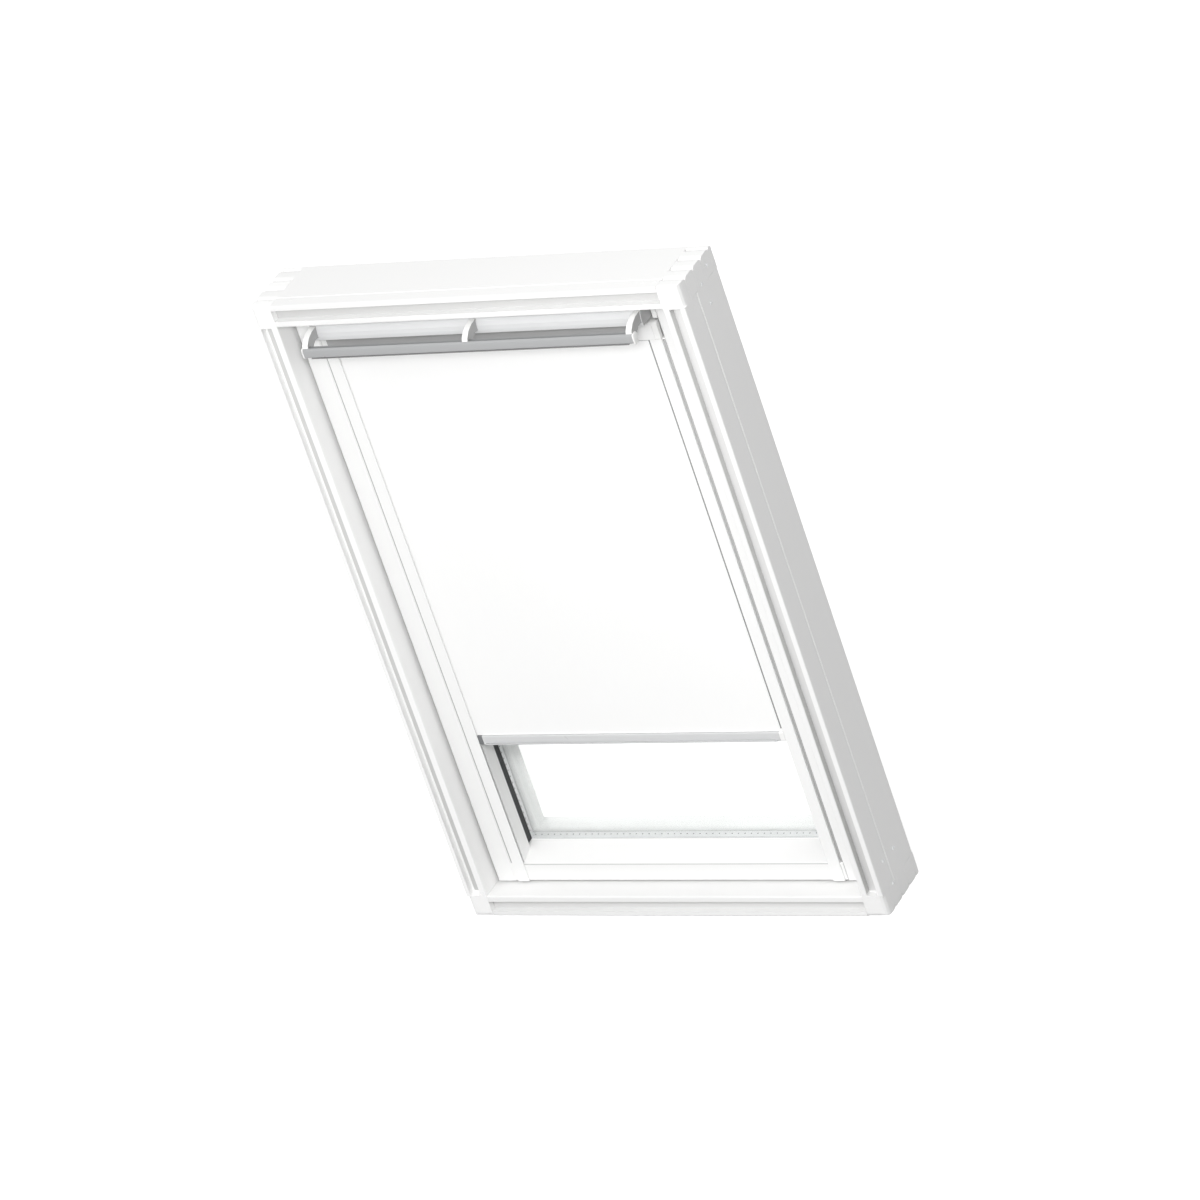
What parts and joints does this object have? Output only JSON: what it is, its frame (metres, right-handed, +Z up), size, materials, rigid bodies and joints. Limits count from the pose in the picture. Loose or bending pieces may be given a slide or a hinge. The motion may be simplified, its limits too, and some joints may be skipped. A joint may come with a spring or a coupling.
{
  "type": "roof window with roller blind",
  "caption": "Centre-pivot roof window, white wooden frame and sash, double glazing, top control bar with ventilation flap, and a white roller blind in side channels.",
  "frame": {"origin": "middle of the frame's bottom face, at half the frame's depth", "axes": "+X across the window, +Y out through the roof, so the room is on the -Y side, +Z up the slope"},
  "size_m": [0.78, 0.151, 1.18],
  "materials": {
    "painted_wood": "white water-based paint over laminated pine, satin",
    "white_aluminium": "white powder coat on extruded aluminium",
    "bar_aluminium": "grey lacquered aluminium profile",
    "flap_aluminium": "pale grey lacquered aluminium profile",
    "white_plastic": "moulded, fine texture",
    "grey_plastic": "moulded dark grey",
    "zinc_steel": "zinc plated",
    "spacer_aluminium": "bright mill finish",
    "pane_glass": "clear float glass",
    "black_rubber": "extruded, matt",
    "pale_rubber": "pale extruded gasket",
    "arm_plastic": "moulded mid grey",
    "grey_seal": "soft extruded seal",
    "grey_cladding": "dark grey lacquered aluminium sheet",
    "filter_foam": "open foam",
    "blind_cloth": "coated blackout cloth"
  },
  "bodies": {
    "frame": {"frame_left_member": "painted_wood", "frame_right_member": "painted_wood", "frame_top_member": "painted_wood", "frame_bottom_member": "painted_wood", "bolt_bush_top": "grey_plastic", "bolt_bush_bottom": "grey_plastic", "striker_plate": "zinc_steel", "pivot_plate_left": "zinc_steel", "pivot_plate_right": "zinc_steel"},
    "sash": {"sash_left_stile": "painted_wood", "sash_right_stile": "painted_wood", "sash_bottom_rail": "painted_wood", "sash_top_rail": "painted_wood", "inner_pane": "pane_glass", "outer_pane": "pane_glass", "pane_spacer": "spacer_aluminium", "inner_gasket": "pale_rubber", "outer_gasket": "black_rubber", "outer_cover_left": "grey_cladding", "outer_cover_right": "grey_cladding", "outer_cover_top": "grey_cladding", "outer_cover_bottom": "grey_cladding", "pivot_pin_left": "zinc_steel", "pivot_pin_right": "zinc_steel", "seal_top": "grey_seal", "seal_bottom": "grey_seal", "seal_left_upper": "grey_seal", "seal_left_lower": "grey_seal", "seal_right_upper": "grey_seal", "seal_right_lower": "grey_seal", "air_filter": "filter_foam", "lock_case": "zinc_steel", "side_channel_left": "white_aluminium", "side_channel_right": "white_aluminium", "channel_seal_left": "black_rubber", "channel_seal_right": "black_rubber", "blind_casing": "white_aluminium", "casing_end_left": "white_plastic", "casing_end_right": "white_plastic", "blind_fabric": "blind_cloth"},
    "flap": {"ventilation_flap": "flap_aluminium", "control_bar": "bar_aluminium", "bar_bracket_left": "arm_plastic", "bar_bracket_middle": "arm_plastic", "bar_bracket_right": "arm_plastic"},
    "latch": {"latch_bolt": "zinc_steel"},
    "cleaning_bolt": {"barrel_bolt": "zinc_steel"},
    "roller": {"roller_tube": "zinc_steel", "fabric_roll": "blind_cloth", "roller_plug_left": "grey_plastic", "roller_plug_right": "grey_plastic"},
    "blind_bar": {"bottom_bar": "bar_aluminium", "bar_slider_left": "grey_plastic", "bar_slider_right": "white_plastic"}
  },
  "joints": [
    {"name": "sash_pivot", "type": "hinge", "parent": "frame", "child": "sash", "pos_m": [0, 0.016, 0.59], "axis": [1, 0, 0], "range_deg": [0, 180]},
    {"name": "flap_pivot", "type": "hinge", "parent": "sash", "child": "flap", "pos_m": [0, -0.016, 1.112], "axis": [1, 0, 0], "range_deg": [0, 22]},
    {"name": "latch_slide", "type": "slide", "parent": "sash", "child": "latch", "axis": [0, 0, 1], "range_m": [0, 0.009]},
    {"name": "bolt_slide", "type": "slide", "parent": "sash", "child": "cleaning_bolt", "axis": [0, 0, 1], "range_m": [0, 0.012]},
    {"name": "blind_slide", "type": "slide", "parent": "sash", "child": "blind_bar", "axis": [0, 0, 1], "range_m": [-0.232, 0.73], "deforming": ["blind_fabric"]},
    {"name": "roller_spin", "type": "hinge", "parent": "sash", "child": "roller", "pos_m": [0, -0.0109, 1.0815], "axis": [-1, 0, 0], "range_deg": [-1440, 4500]}
  ],
  "couplings": [
    {"joint": "roller_spin", "follows": "blind_slide", "rad_per_m": 107.5}
  ]
}
